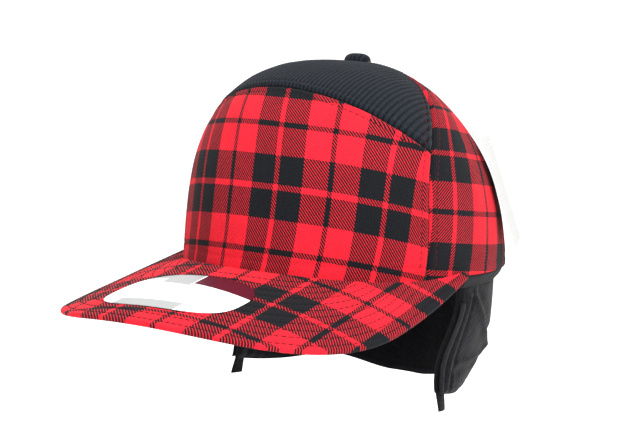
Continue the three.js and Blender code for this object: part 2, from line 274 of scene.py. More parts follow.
def crown_point(turn, climb, depth):
    """turn: degrees from the front. climb: degrees up the dome, or, where below 0, millimetres down."""
    turn, climb, depth = np.broadcast_arrays(turn, climb, depth)
    up_angle = np.radians(np.maximum(climb, 0))
    power = roundness(turn)
    reach = (np.cos(up_angle) ** power + np.sin(up_angle) ** power) ** (-1 / power)
    outward = reach * np.cos(up_angle)
    return np.stack([
        (HALF_WIDTH - depth) * np.sin(np.radians(turn)) * outward,
        -(HALF_LENGTH - depth) * np.cos(np.radians(turn)) * outward,
        (CROWN_HEIGHT - depth) * reach * np.sin(up_angle) + np.minimum(climb, 0),
    ], axis=-1)


def front_seam(climb):
    return 64.5 + 33 * smoothstep(climb, 20, 95)


def rear_seam(climb):
    return 122 + 16 * smoothstep(climb, 20, 95)


def arc_climb(turn):
    return ARC_CLIMB - ARC_DROOP * turn * turn


def skirt_climb(turn):
    start, end = SKIRT_TURNS
    return -FRONT_SKIRT * np.clip((end - np.abs(turn)) / (end - start), 0, 1)


def turn_for(length, turn, climb):
    """How many degrees of turn cover a length on the crown."""
    point = crown_point(turn, climb, 0)
    return np.degrees(length / np.hypot(point[..., 0], point[..., 1]))


PANELS = {
    "front": {
        "from": lambda climb: -front_seam(climb),
        "to": front_seam,
        "low": lambda turn: -FRONT_SKIRT + 0 * turn,
        "high": lambda turn: arc_climb(turn) - ARC_GAP_CLIMB,
    },
    "top": {
        "from": lambda climb: -front_seam(climb),
        "to": front_seam,
        "low": lambda turn: arc_climb(turn) + ARC_GAP_CLIMB,
        "high": lambda turn: TOP_HOLE_CLIMB + 0 * turn,
    },
    "side": {
        "from": front_seam,
        "to": rear_seam,
        "low": skirt_climb,
        "high": lambda turn: TOP_HOLE_CLIMB + 0 * turn,
    },
    "back": {
        "from": rear_seam,
        "to": lambda climb: 180 + 0 * climb,
        "low": skirt_climb,
        "high": lambda turn: TOP_HOLE_CLIMB + 0 * turn,
    },
}


def panel_places(area, across, up):
    """The turn and climb at each point of a panel's grid."""
    guess = np.full_like(across, 20.0)
    turn = area["from"](guess) * (1 - across) + area["to"](guess) * across
    climb = np.zeros_like(turn)
    for _ in range(8):
        climb = area["low"](turn) * (1 - up) + area["high"](turn) * up
        start, end = area["from"](climb), area["to"](climb)
        start = start + turn_for(SEAM_GAP, start, climb)
        end = end - turn_for(SEAM_GAP, end, climb)
        turn = start * (1 - across) + end * across
    return turn, climb


def crown_ripple(points):
    """The small unevenness of cloth stretched over the crown, as a depth."""
    return 0.55 * noise_at(points, 38.0) + 0.14 * noise_at(points, 9.0, 7.0)


def seam_relief(distance):
    """The depth of the cloth beside a seam."""
    into_seam = 1.1 * bell(distance, 0, SEAM_EDGE)
    over_folded_edge = 0.3 * bell(distance, 2.6, 1.3)
    into_stitching = 0.28 * bell(distance, 4.6, 0.8)
    return into_seam - over_folded_edge + into_stitching


def add_panel(name, kind, steps, cloth_of, mirrored=False):
    across, up = grid(*steps)
    turn, climb = panel_places(PANELS[kind], across, up)
    smooth = crown_point(turn, climb, 0)
    along, rise = running_length(smooth, 0), running_length(smooth, 1)
    to_sides = np.minimum(along, along[-1:] - along)
    depth = crown_ripple(smooth) + seam_relief(to_sides)
    if kind in ("front", "top"):
        to_arc = rise[:, -1:] - rise if kind == "front" else rise
        depth = depth + seam_relief(to_arc) * (to_sides > SEAM_EDGE)
    if kind != "top":
        depth = depth + 0.3 * bell(rise, BAND_STITCH_RISE + FRONT_SKIRT * (kind == "front"), 0.8)
    cloth = cloth_of(turn, climb, along, rise)
    if kind == "top":
        ribs = np.abs(np.sin(np.pi * cloth[..., 0] / RIB_PITCH))
        depth = depth - RIB_RELIEF * ribs + RIB_SINK
    depth = np.maximum(depth, -HIGHEST_PUFF)
    outer = crown_point(turn, climb, depth)
    inner = crown_point(turn, climb, np.maximum(depth + PANEL_CLOTH_THICKNESS, PANEL_THICKNESS))
    if mirrored:
        outer, inner, cloth = mirror_grid(outer), mirror_grid(inner), cloth[::-1] * np.array([-1, 1])
    piece = add_sheet(name, outer, inner, cloth)
    declare_sheet(smooth)
    return piece


# ---- Where the plaid falls on each panel ----
# The plaid map counts half repeats: a thin red line in a black band at each even number, and a thin black
# line in a red band at each odd one. Repeats are in millimetres.

FRONT_REPEAT = (26.85, 32.8)
FRONT_START = (-0.461, -1.349)
FRONT_LEAN = 133.9
FRONT_BOW = (-3.0e-5, 3.6e-5)
FRONT_TOP_BEND = 9.6e-5
SIDE_REPEAT = (34.0, 32.2)
SIDE_BLACK_LINE_HEIGHT = 66.0
SIDE_START_TURN = 93.0
SIDE_START = 34.2
SIDE_LEAN = 0.13
SIDE_BEND_HEIGHT = 50.0
SIDE_BEND = 0.0069
SIDE_ROW_SLOPE = 0.07
BRIM_REPEAT = (33.38, 35.98)
BRIM_START = (1.79, 170.09)
BRIM_SKEW = -0.040


def front_cloth(turn, climb, along, rise):
    """The front's cloth leans a little and stretches towards its top."""
    u = along - along[-1:] / 2
    v = rise - FRONT_SKIRT
    bow = FRONT_BOW[0] * u * u
    across = FRONT_START[0] + u / FRONT_REPEAT[0] - v / FRONT_LEAN + bow + FRONT_TOP_BEND * v * v
    upward = FRONT_START[1] + v / FRONT_REPEAT[1] + FRONT_BOW[1] * u * u
    return np.stack([across, upward], axis=-1)


def side_cloth(turn, climb, along, rise):
    """The side's cloth leans back as it rises, and bends back further near its top."""
    height = rise + np.minimum(climb[:, :1], 0)
    columns = range(turn.shape[1])
    reference = np.array([np.interp(SIDE_START_TURN, turn[:, j], along[:, j]) for j in columns])
    bend = SIDE_BEND * np.maximum(height - SIDE_BEND_HEIGHT, 0) ** 2
    u = along - reference + SIDE_START - SIDE_LEAN * height - bend
    v = height + SIDE_ROW_SLOPE * (along - reference + 30)
    return np.stack([u / SIDE_REPEAT[0], (SIDE_BLACK_LINE_HEIGHT - v) / SIDE_REPEAT[1]], axis=-1)


def back_cloth(turn, climb, along, rise):
    u = along - along[-1:] + SIDE_REPEAT[0]
    return np.stack([u / SIDE_REPEAT[0], (SIDE_BLACK_LINE_HEIGHT - rise) / SIDE_REPEAT[1]], axis=-1)


def top_cloth(turn, climb, along, rise):
    point = crown_point(turn, climb, 0)
    return np.stack([point[..., 0], point[..., 1]], axis=-1)


# ---- Materials ----

class Nodes:
    """A short way to write a node tree."""

    def __init__(self, name):
        self.material = bpy.data.materials.new(name)
        self.material.use_nodes = True
        self.tree = self.material.node_tree
        self.shader = self.tree.nodes["Principled BSDF"]

    def node(self, kind, **settings):
        made = self.tree.nodes.new(kind)
        for key, value in settings.items():
            setattr(made, key, value)
        return made

    def put(self, socket, value):
        if isinstance(value, bpy.types.NodeSocket):
            self.tree.links.new(value, socket)
        else:
            socket.default_value = value

    def math(self, operation, a, b=0.0, clamp=False):
        made = self.node("ShaderNodeMath", operation=operation, use_clamp=clamp)
        self.put(made.inputs[0], a)
        self.put(made.inputs[1], b)
        return made.outputs[0]

    def range(self, value, low, high, to_low=0.0, to_high=1.0):
        made = self.node("ShaderNodeMapRange")
        for socket, setting in zip(made.inputs, (value, low, high, to_low, to_high)):
            self.put(socket, setting)
        return made.outputs[0]

    def mix(self, share, a, b, blend="MIX"):
        made = self.node("ShaderNodeMix", data_type="RGBA", blend_type=blend)
        self.put(made.inputs[0], share)
        self.put(made.inputs[6], a)
        self.put(made.inputs[7], b)
        return made.outputs[2]

    def noise(self, vector, scale, detail=3.0):
        made = self.node("ShaderNodeTexNoise")
        self.put(made.inputs["Vector"], vector)
        self.put(made.inputs["Scale"], scale)
        self.put(made.inputs["Detail"], detail)
        return made.outputs["Fac"]

    def product(self, first, *others):
        for other in others:
            first = self.math("MULTIPLY", first, other)
        return first

    def where(self, *tests):
        """1 where every test holds. A test is a value, a comparison and what it is compared with."""
        found = 1.0
        for value, comparison, limit in tests:
            found = self.math("MULTIPLY", found, self.math(comparison, value, limit))
        return found

    def tint(self, colour, shade):
        return self.mix(1.0, colour, shade, "MULTIPLY")

    def position(self):
        return self.node("ShaderNodeTexCoord").outputs["Object"]

    def cloth(self):
        made = self.node("ShaderNodeUVMap", uv_map="cloth")
        split = self.node("ShaderNodeSeparateXYZ")
        self.put(split.inputs[0], made.outputs[0])
        return split.outputs[0], split.outputs[1]

    def split_position(self):
        split = self.node("ShaderNodeSeparateXYZ")
        self.put(split.inputs[0], self.position())
        return split.outputs

    def finish(self, colour, roughness, height=None, distance=0.0002, strength=1.0, sheen=0.0):
        self.put(self.shader.inputs["Base Color"], colour)
        self.put(self.shader.inputs["Roughness"], roughness)
        self.shader.inputs["Sheen Weight"].default_value = sheen
        self.shader.inputs["Specular IOR Level"].default_value = 0.12
        if height is not None:
            bump = self.node("ShaderNodeBump")
            bump.inputs["Distance"].default_value = distance
            bump.inputs["Strength"].default_value = strength
            self.put(bump.inputs["Height"], height)
            self.put(self.shader.inputs["Normal"], bump.outputs[0])
        return self.material


RED = (0.72, 0.013, 0.028, 1)
BLACK = (0.006, 0.007, 0.009, 1)
TWILL_PER_REPEAT = 18.0
THIN_LINE = 0.046


def stripes(n, place):
    """1 where the yarn is red and 0 where it is black."""
    folded = n.math("ABSOLUTE", n.math("SUBTRACT", n.math("FLOORED_MODULO", place, 2.0), 1.0))
    band = n.math("LESS_THAN", folded, 0.5)
    thin_black = n.math("LESS_THAN", folded, THIN_LINE)
    thin_red = n.math("GREATER_THAN", folded, 1 - THIN_LINE)
    return n.math("ADD", n.math("SUBTRACT", band, thin_black), thin_red, clamp=True)


def plaid_material():
    n = Nodes("plaid_twill")
    u, v = n.cloth()
    position = n.position()
    wobble = n.range(n.noise(position, 900.0, 1.0), 0.0, 1.0, -0.006, 0.006)
    red_u = stripes(n, n.math("ADD", u, wobble))
    red_v = stripes(n, n.math("ADD", v, wobble))
    diagonal = n.math("MULTIPLY", n.math("ADD", u, v), TWILL_PER_REPEAT * 2 * math.pi)
    wave = n.math("SINE", diagonal)
    both_red = n.math("MULTIPLY", red_u, red_v)
    one_red = n.math("ABSOLUTE", n.math("SUBTRACT", red_u, red_v))
    red_on_top = n.math("MULTIPLY", one_red, n.range(wave, 0.15, 0.8, 0.0, 0.8))
    red = n.math("ADD", both_red, red_on_top, clamp=True)
    fuzz = n.noise(position, 1500.0, 2.0)
    mottle = n.noise(position, 60.0, 3.0)
    shade = n.product(
        n.range(fuzz, 0.25, 0.75, 0.74, 1.14),
        n.range(mottle, 0.3, 0.7, 0.90, 1.04),
        n.range(wave, -1.0, 1.0, 0.80, 1.04),
    )
    colour = n.tint(n.mix(red, BLACK, RED), shade)
    height = n.math("ADD", n.math("MULTIPLY", wave, 0.5), fuzz)
    return n.finish(colour, 0.95, height, 0.00018, 0.6, sheen=0.03)


def knit_material(name, colour, pitch):
    """Ribbed knit: ribs along the second cloth axis, with rows of stitches across. The map is in mm."""
    n = Nodes(name)
    u, v = n.cloth()
    rib = n.math("ABSOLUTE", n.math("SINE", n.math("MULTIPLY", u, math.pi / pitch)))
    rows = n.math("SINE", n.math("MULTIPLY", v, 2 * math.pi / 1.1))
    fuzz = n.noise(n.position(), 1200.0, 3.0)
    # Painted shade and highlight: the colour is darkest in the rib valleys and brightest on the rib crests,
    # as light falls on the ribs; the fuzz adds random tone.
    shade = n.product(n.range(rib, 0.0, 1.0, 0.12, 1.25), n.range(fuzz, 0.25, 0.75, 0.5, 1.6))
    height = n.math("ADD", n.math("MULTIPLY", rows, 0.35), fuzz)
    return n.finish(n.tint(colour, shade), 0.95, height, 0.0002, 0.8, sheen=0.05)


def fleece_material(name, colour):
    n = Nodes(name)
    position = n.position()
    curl = n.noise(position, 420.0, 4.0)
    fuzz = n.noise(position, 1800.0, 2.0)
    patches = n.noise(position, 45.0, 2.0)
    shade = n.product(n.range(curl, 0.3, 0.7, 0.55, 1.5), n.range(patches, 0.3, 0.7, 0.8, 1.25))
    height = n.math("ADD", curl, n.math("MULTIPLY", fuzz, 0.5))
    return n.finish(n.tint(colour, shade), 0.95, height, 0.0005, 0.9, sheen=0.06)


def woven_material(name, colour, pitch_mm, contrast=0.35):
    """A plain weave laid out by position, for tapes and backings."""
    n = Nodes(name)
    x, y, z = n.split_position()
    turns = 2 * math.pi / (pitch_mm * MM)
    one = n.math("SINE", n.math("MULTIPLY", n.math("ADD", x, y), turns))
    two = n.math("SINE", n.math("MULTIPLY", n.math("ADD", z, n.math("SUBTRACT", x, y)), turns))
    weave = n.math("MULTIPLY", one, two)
    fuzz = n.noise(n.position(), 1500.0, 2.0)
    shade = n.product(
        n.range(weave, -1.0, 1.0, 1 - contrast, 1 + contrast),
        n.range(fuzz, 0.2, 0.8, 0.8, 1.2),
    )
    height = n.math("ADD", weave, fuzz)
    return n.finish(n.tint(colour, shade), 0.85, height, 0.0002, 0.7, sheen=0.1)


def card_material(name, colour, roughness):
    n = Nodes(name)
    fibre = n.noise(n.position(), 700.0, 3.0)
    shade = n.range(fibre, 0.3, 0.7, 0.97, 1.02)
    return n.finish(n.tint(colour, shade), roughness, fibre, 0.00003, 0.4)


def thread_material(name, colour):
    n = Nodes(name)
    x, y, z = n.split_position()
    along = n.math("ADD", n.math("ADD", x, y), z)
    ply = n.math("SINE", n.math("MULTIPLY", along, 2 * math.pi / (0.5 * MM)))
    shade = n.range(ply, -1.0, 1.0, 0.7, 1.2)
    return n.finish(n.tint(colour, shade), 0.6, ply, 0.0001, 0.5)


def steel_material():
    n = Nodes("pressed_steel")
    scuff = n.noise(n.position(), 400.0, 4.0)
    n.shader.inputs["Metallic"].default_value = 1.0
    return n.finish((0.5, 0.51, 0.53, 1), n.range(scuff, 0.3, 0.7, 0.28, 0.45), scuff, 0.00002, 0.5)


plaid = plaid_material()
rib = knit_material("ribbed_knit", (0.0075, 0.010, 0.0145, 1), RIB_PITCH)
under_knit = knit_material("under_brim_cloth", (0.012, 0.013, 0.016, 1), 1.4)
fleece = fleece_material("black_fleece", (0.0028, 0.0028, 0.0042, 1))
tape = woven_material("black_tape", (0.012, 0.012, 0.014, 1), 0.9)
buckram = woven_material("buckram", (0.03, 0.03, 0.034, 1), 1.6, 0.6)
board = card_material("brim_board", (0.2, 0.2, 0.21, 1), 0.6)
card = card_material("white_card", (0.5, 0.5, 0.49, 1), 0.6)
nylon = card_material("clear_nylon", (0.8, 0.8, 0.79, 1), 0.3)
black_thread = thread_material("black_thread", (0.012, 0.012, 0.014, 1))
dark_thread = thread_material("dark_thread", (0.10, 0.010, 0.014, 1))
steel = steel_material()


# ---- Stitches ----

def add_stitches(name, path, normals, material, body, width=0.42):
    """Short threads end to end along a path of points in millimetres, each sunk a little at its ends."""
    travelled = np.concatenate([[0], np.cumsum(np.linalg.norm(np.diff(path, axis=0), axis=1))])
    starts = np.arange(STITCH_PITCH / 2, travelled[-1] - STITCH_LENGTH, STITCH_PITCH)
    sections = np.linspace(0, 1, 4)
    angles = np.linspace(0, 2 * np.pi, 6, endpoint=False)
    vertices, faces = [], []
    for start in starts:
        at = start + sections * STITCH_LENGTH
        middle = np.stack([np.interp(at, travelled, path[:, k]) for k in range(3)], axis=-1)
        normal = np.stack([np.interp(at, travelled, normals[:, k]) for k in range(3)], axis=-1)
        normal /= np.linalg.norm(normal, axis=-1, keepdims=True)
        direction = middle[-1] - middle[0]
        direction /= np.linalg.norm(direction)
        side = np.cross(direction, normal)
        middle = middle + normal * (0.16 * np.sin(np.pi * sections) - 0.08)[:, None]
        first = len(vertices)
        for k in range(len(sections)):
            radius = width / 2 * (0.45 if k in (0, len(sections) - 1) else 1.0)
            for angle in angles:
                away = np.cos(angle) * side[k] + np.sin(angle) * normal[k]
                vertices.append((middle[k] + radius * away) * MM)
        ring = len(angles)
        for k in range(len(sections) - 1):
            for m in range(ring):
                a, b = first + k * ring + m, first + k * ring + (m + 1) % ring
                faces.append((a, b, b + ring, a + ring))
        faces.append(tuple(first + m for m in reversed(range(ring))))
        faces.append(tuple(first + (len(sections) - 1) * ring + m for m in range(ring)))
    made = add_object(name, vertices, faces)
    paint(made, material)
    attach(made, body)


def crown_normals(turn, climb):
    step = 0.05
    here = crown_point(turn, climb, 0)
    beside = crown_point(turn + step, climb, 0) - here
    above = crown_point(turn, climb + step, 0) - here
    normal = np.cross(beside, above)
    return normal / np.linalg.norm(normal, axis=-1, keepdims=True)


def crown_stitch_path(turn, climb):
    """A line on the crown's uneven cloth, and the way that the cloth faces along it."""
    depth = np.maximum(crown_ripple(crown_point(turn, climb, 0)) + STITCH_SINK, -HIGHEST_PUFF)
    return crown_point(turn, climb, depth), crown_normals(turn, climb)


# ---- Crown ----

def add_crown():
    pieces = [
        ("front", "front", (150, 110), front_cloth, False),
        ("top", "top", (300, 90), top_cloth, False),
    ]
    for kind, cloth_of in (("side", side_cloth), ("back", back_cloth)):
        for side, mirrored in (("left", False), ("right", True)):
            pieces.append((f"{side}_{kind}", kind, (84, 140), cloth_of, mirrored))
    for name, kind, steps, cloth_of, mirrored in pieces:
        piece = add_panel(f"{name}_cloth", kind, steps, cloth_of, mirrored)
        paint(piece, rib if kind == "top" else plaid)
        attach(piece, "crown")
        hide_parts(f"{name}_panel")


def add_crown_stitching():
    """A row of stitches on each side of every seam."""
    climbs = np.linspace(2, 84, 200)
    rows = {}
    for name, seam in (("front_seam", front_seam(climbs)), ("rear_seam", rear_seam(climbs))):
        beside = turn_for(STITCH_INSET, seam, climbs)
        rows[f"{name}_front"] = seam - beside
        rows[f"{name}_rear"] = seam + beside
    rows["back_seam"] = 180 - turn_for(STITCH_INSET, 180 + 0 * climbs, climbs)
    for side, sign in (("left", 1), ("right", -1)):
        for name, turns in rows.items():
            path, normals = crown_stitch_path(sign * turns, climbs)
            add_stitches(f"{side}_{name}_stitches", path, normals, dark_thread, "crown")
    turns = np.linspace(-60, 60, 260)
    rise = STITCH_INSET / ARC_MM_PER_CLIMB
    for name, climb in (("front", arc_climb(turns) - rise), ("top", arc_climb(turns) + rise)):
        path, normals = crown_stitch_path(turns, climb)
        add_stitches(f"arc_stitches_{name}", path, normals, black_thread, "crown")


def add_button():
    """A dome covered in ribbed knit gathered at its rim."""
    low, high = (np.array(corner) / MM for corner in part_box("crown_button"))
    radius = (high[0] - low[0]) / 2
    base = CROWN_HEIGHT + 0.1
    around, up = grid(96, 26)
    angle = -2 * np.pi * around
    profile_angle = np.pi / 2 * up
    gather = 0.12 * np.cos(14 * angle) * np.cos(profile_angle) ** 2
    r = (radius + gather) * np.cos(profile_angle) ** 0.7
    z = base + (high[2] - base) * np.sin(profile_angle) ** 0.9
    outer = np.stack([r * np.cos(-angle), r * np.sin(-angle), z], axis=-1)
    vertices = outer[:-1].reshape(-1, 3)
    rows, columns = outer.shape[0] - 1, outer.shape[1]
    faces = []
    for i in range(rows):
        for j in range(columns - 1):
            a, b = i * columns + j, ((i + 1) % rows) * columns + j
            faces.append((a, b, b + 1, a + 1))
    faces.append(tuple(i * columns for i in reversed(range(rows))))
    piece = add_object("covered_button", vertices * MM, faces)
    set_cloth(piece, vertices[:, :2])
    paint(piece, rib)
    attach(piece, "crown")
    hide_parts("crown_button")


# ---- Brim ----

def brim_point(across, ahead, above):
    roll = across / ROLL_RADIUS
    height = (ROLL_RADIUS + above) * np.cos(roll) - ROLL_RADIUS
    return np.stack([
        (ROLL_RADIUS + above) * np.sin(roll),
        -ahead * math.cos(BRIM_TILT) - height * math.sin(BRIM_TILT),
        -ahead * math.sin(BRIM_TILT) + height * math.cos(BRIM_TILT) + BRIM_LIFT,
    ], axis=-1)


def brim_root(turn, above):
    gap = 0.15
    x = (HALF_WIDTH + gap) * np.sin(np.radians(turn))
    y = -(HALF_LENGTH + gap) * np.cos(np.radians(turn))
    radius = ROLL_RADIUS + above
    roll = np.arcsin(x / radius)
    height = radius * np.cos(roll) - ROLL_RADIUS
    ahead = (-y - height * math.sin(BRIM_TILT)) / math.cos(BRIM_TILT)
    return np.stack([ROLL_RADIUS * roll, ahead], axis=-1)


def beyond_brim_edge(place):
    across, ahead = np.abs(place[..., 0]), place[..., 1]
    past = ahead - BRIM_SHOULDER
    to_side = (across / BRIM_HALF_WIDTH) ** BRIM_ROUNDNESS
    to_front = (np.maximum(past, 0) / BRIM_REACH) ** BRIM_ROUNDNESS
    share = np.clip(ahead / BRIM_SHOULDER, 0, 1)
    edge = BRIM_ROOT_HALF_WIDTH + (BRIM_HALF_WIDTH - BRIM_ROOT_HALF_WIDTH) * np.sin(share * np.pi / 2)
    return np.where(past > 0, to_side + to_front - 1, across / edge - 1)


def brim_edge(root):
    length = np.linalg.norm(root, axis=-1, keepdims=True)
    direction = root / length
    inside, outside = length.copy(), np.full_like(length, BRIM_SHOULDER + BRIM_REACH + 20)
    for _ in range(40):
        middle = (inside + outside) / 2
        beyond = beyond_brim_edge(direction * middle)[..., None] > 0
        outside = np.where(beyond, middle, outside)
        inside = np.where(beyond, inside, middle)
    return direction * inside, direction


def brim_cloth(place):
    """The brim's cloth is cut a little askew."""
    across = place[..., 0] * math.cos(BRIM_SKEW) + place[..., 1] * math.sin(BRIM_SKEW)
    ahead = -place[..., 0] * math.sin(BRIM_SKEW) + place[..., 1] * math.cos(BRIM_SKEW)
    u = (across - BRIM_START[0]) / BRIM_REPEAT[0] - 1
    v = (BRIM_START[1] - ahead) / BRIM_REPEAT[1] - 1
    return np.stack([u, v], axis=-1)


def brim_rows():
    return np.arange(BRIM_STITCH_START, BRIM_STITCH_END, BRIM_STITCH_SPACING)


def brim_layer(height, steps, wrap):
    """The grid of a brim cover from the outer edge in to the crown, with a rolled edge where it wraps."""
    turns = np.linspace(-BRIM_END_TURN, BRIM_END_TURN, steps[0] + 1)
    root = brim_root(turns, height)
    edge, direction = brim_edge(root)
    width = np.linalg.norm(edge - root, axis=-1)
    share = np.linspace(0, 1, steps[1] + 1)
    roll_radius = np.minimum(abs(height), width * 0.45)
    sign = 1 if height > 0 else -1
    places, heights = [], []
    if wrap:
        for angle in np.linspace(-np.pi / 2, np.pi / 2, 13)[:-1]:
            inset = roll_radius * (1 - np.cos(angle))
            places.append(edge - direction * inset[:, None])
            heights.append(abs(height) * np.sin(angle) + 0 * width)
    for s in share:
        inset = roll_radius + (width - roll_radius) * s
        places.append(edge - direction * inset[:, None])
        groove = sum(bell(inset, row, BRIM_GROOVE_WIDTH) for row in brim_rows())
        heights.append(height - sign * BRIM_GROOVE_DEPTH * groove * (width > 6))
    return np.stack(places, axis=1), np.stack(heights, axis=1)


def brim_normal(places):
    roll = places[..., 0] / ROLL_RADIUS
    return np.stack([
        np.sin(roll),
        -np.cos(roll) * math.sin(BRIM_TILT),
        np.cos(roll) * math.cos(BRIM_TILT),
    ], axis=-1)


def brim_ripple(points, places):
    """How far cloth or thread at points on the brim is moved by its unevenness."""
    return brim_normal(places) * (0.2 * noise_at(points, 30.0, 3.0))[..., None]


def add_brim_top():
    """The top cover, whose outer edge is rolled round the board's edge."""
    half = BRIM_HALF_THICKNESS
    places, heights = brim_layer(half, (190, 170), True)
    outer = brim_point(places[..., 0], places[..., 1], heights)
    root_turns = np.linspace(-BRIM_END_TURN, BRIM_END_TURN, places.shape[0])
    edge, direction = brim_edge(brim_root(root_turns, half))
    rolled = np.clip(1 - np.linalg.norm(edge[:, None] - places, axis=-1) / half, 0, 1)
    within = places - direction[:, None] * (BRIM_CLOTH_THICKNESS * rolled)[..., None]
    inner_heights = heights * (half - BRIM_CLOTH_THICKNESS) / half
    inner = brim_point(within[..., 0], within[..., 1], inner_heights)
    piece = add_sheet("brim_top_cloth", outer + brim_ripple(outer, places), inner, brim_cloth(places))
    paint(piece, plaid)
    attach(piece, "crown")
    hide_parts("brim_top_cover")
    declare_sheet(outer)


def add_brim_underside():
    places, heights = brim_layer(-BRIM_HALF_THICKNESS, (120, 90), False)
    lower = brim_point(places[..., 0], places[..., 1], heights)
    upper = brim_point(places[..., 0], places[..., 1], heights + BRIM_LINING_THICKNESS)
    piece = add_sheet("brim_under_cloth", upper, lower, places)
    paint(piece, under_knit)
    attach(piece, "crown")
    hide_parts("brim_under_cover")
    declare_sheet(lower)


def add_brim_stitching():
    turns = np.linspace(-BRIM_END_TURN, BRIM_END_TURN, 400)
    half = BRIM_HALF_THICKNESS
    root = brim_root(turns, half)
    edge, direction = brim_edge(root)
    width = np.linalg.norm(edge - root, axis=-1)
    for number, row in enumerate(brim_rows()):
        kept = width > row + 1.5
        place = (edge - direction * row)[kept]
        if len(place) < 8:
            continue
        path = brim_point(place[:, 0], place[:, 1], half - BRIM_STITCH_SINK + 0 * place[:, 0])
        path = path + brim_ripple(path, place)
        name = f"brim_stitches_{number + 1}"
        add_stitches(name, path, brim_normal(place), black_thread, "crown", width=0.4)


def add_sticker():
    """A sticker between an ellipse and a rectangle in outline, lying on the brim."""
    around, out = grid(96, 24)
    angle = 2 * np.pi * around
    power = STICKER_SQUARENESS
    square = (np.abs(np.cos(angle)) ** power + np.abs(np.sin(angle)) ** power) ** (-1 / power)
    reach = (1 - out) * square
    across = STICKER_CENTRE[0] + STICKER_HALF_SIZE[0] * reach * np.cos(angle)
    ahead = STICKER_CENTRE[1] + STICKER_HALF_SIZE[1] * reach * np.sin(angle)
    height = BRIM_HALF_THICKNESS + STICKER_LIFT + 0 * across
    outer = brim_point(across, ahead, height)
    inner = brim_point(across, ahead, height - STICKER_THICKNESS)
    cloth = np.stack([reach * np.cos(angle), reach * np.sin(angle)], axis=-1)
    piece = add_sheet("round_sticker", outer[::-1], inner[::-1], cloth[::-1])
    paint(piece, sticker_material())
    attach(piece, "crown")
    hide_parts("size_sticker")


def sticker_material():
    """White, with a silver patch and a dark wedge on the crown's side, and a silver band at the front."""
    n = Nodes("sticker_print")
    u, v = n.cloth()
    slanted = n.math("SUBTRACT", v, n.math("MULTIPLY", u, 0.25))
    edge_patch = n.where((v, "LESS_THAN", -0.74), (u, "LESS_THAN", 0.0))
    middle = ((u, "GREATER_THAN", -0.5), (u, "LESS_THAN", 0.0))
    hanging_patch = n.where((slanted, "LESS_THAN", -0.36), *middle)
    band = n.where((v, "GREATER_THAN", 0.6), (u, "GREATER_THAN", -0.6), (u, "LESS_THAN", 0.38))
    wedge = n.where((slanted, "LESS_THAN", -0.5), (u, "GREATER_THAN", 0.02))
    silver = n.math("MAXIMUM", n.math("MAXIMUM", edge_patch, hanging_patch), band)
    colour = n.mix(silver, (0.86, 0.86, 0.86, 1), (0.33, 0.34, 0.34, 1))
    colour = n.mix(wedge, colour, (0.075, 0.008, 0.018, 1))
    fibre = n.noise(n.position(), 500.0, 2.0)
    return n.finish(colour, 0.35, fibre, 0.00002, 0.3)


# ---- Flaps ----

def flap_inset(turn, drop):
    """How far a flap stands inside the crown's outline. Its lower part curls in, most behind the ear."""
    from_front = np.minimum(turn, 360 - turn)
    returning = TAB_RETURN * smoothstep(drop, *TAB_RETURN_DROPS)
    at_front = FRONT_CURL * smoothstep(drop, *FRONT_CURL_DROPS) - returning
    lower_part = np.clip((drop - REAR_CURL_START) / REAR_CURL_SPAN, 0, 1)
    behind_ear = REAR_CURL * lower_part ** REAR_CURL_POWER
    at_back = BACK_CURL * ((drop - FLAP_TOP_DROP) / FLAP_SPAN) ** 2
    to_ear = np.clip((from_front - EAR_TURNS[0]) / (EAR_REAR_TURN - EAR_TURNS[0]), 0, 1)
    to_back = np.clip((from_front - EAR_REAR_TURN) / (BACK_TURN - EAR_REAR_TURN), 0, 1)
    ear = at_front * (1 - to_ear) + behind_ear * to_ear
    return FLAP_TOP_INSET + ear * (1 - to_back) + at_back * to_back


def flap_hem(turn):
    """How far down a flap's lower edge is, in millimetres."""
    from_front = np.minimum(turn, 360 - turn)
    ear = EAR_HEM["deepest"] - EAR_HEM["rise"] * ((from_front - EAR_HEM["at"]) / EAR_HEM["over"]) ** 2
    deeper = NAPE_HEM["middle"] - NAPE_HEM["start"]
    nape = NAPE_HEM["start"] + deeper * smoothstep(from_front, NAPE_HEM["from"], NAPE_HEM["to"])
    return np.where(from_front < NAPE_HEM["from"], ear, nape)


def flap_point(turn, drop, inward):
    inset = flap_inset(turn, drop) + inward
    return np.stack([
        (HALF_WIDTH - inset) * np.sin(np.radians(turn)),
        -(HALF_LENGTH - inset) * np.cos(np.radians(turn)),
        -drop + 0 * inset,
    ], axis=-1)


# Creases in the ear flaps: a line of turns and drops, its height (below 0 for a hollow) and its width.
FLAP_CREASES = (
    (((90, 14), (89, 30), (89.5, 45), (90, 66)), 0.9, 2.0),
    (((92.5, 14), (92, 30), (92.5, 45), (93, 66)), -1.1, 1.8),
    (((94, 12), (99.5, 22), (110, 36), (121, 46)), 1.5, 2.6),
    (((96, 12), (104, 21), (115, 33), (126, 41)), -1.2, 3.0),
    (((124, 46.5), (117, 51), (105, 52), (94, 52)), 1.2, 2.4),
    (((122, 53), (112, 57), (100, 57), (94, 58)), -0.9, 2.6),
)


def crease(turn, drop, line, width):
    """1 on a line of turns and drops, falling away to both sides over a width in millimetres."""
    turn_size = math.radians(1) * 80
    nearest = np.full(np.shape(turn), 1e9)
    for (turn_a, drop_a), (turn_b, drop_b) in zip(line, line[1:]):
        run, fall = (turn_b - turn_a) * turn_size, drop_b - drop_a
        across, down = (turn - turn_a) * turn_size, drop - drop_a
        share = np.clip((across * run + down * fall) / (run * run + fall * fall), 0, 1)
        nearest = np.minimum(nearest, np.hypot(across - share * run, down - share * fall))
    return np.exp(-((nearest / width) ** 2))


def flap_tuck(to_edge):
    """How far the cloth is drawn in at a flap's sewn edge, and at the stitching beside it."""
    at_edge = 1.7 * bell(to_edge, 0, 2.4)
    at_stitching = 0.35 * bell(to_edge, 4.8, 0.9)
    return at_edge + at_stitching


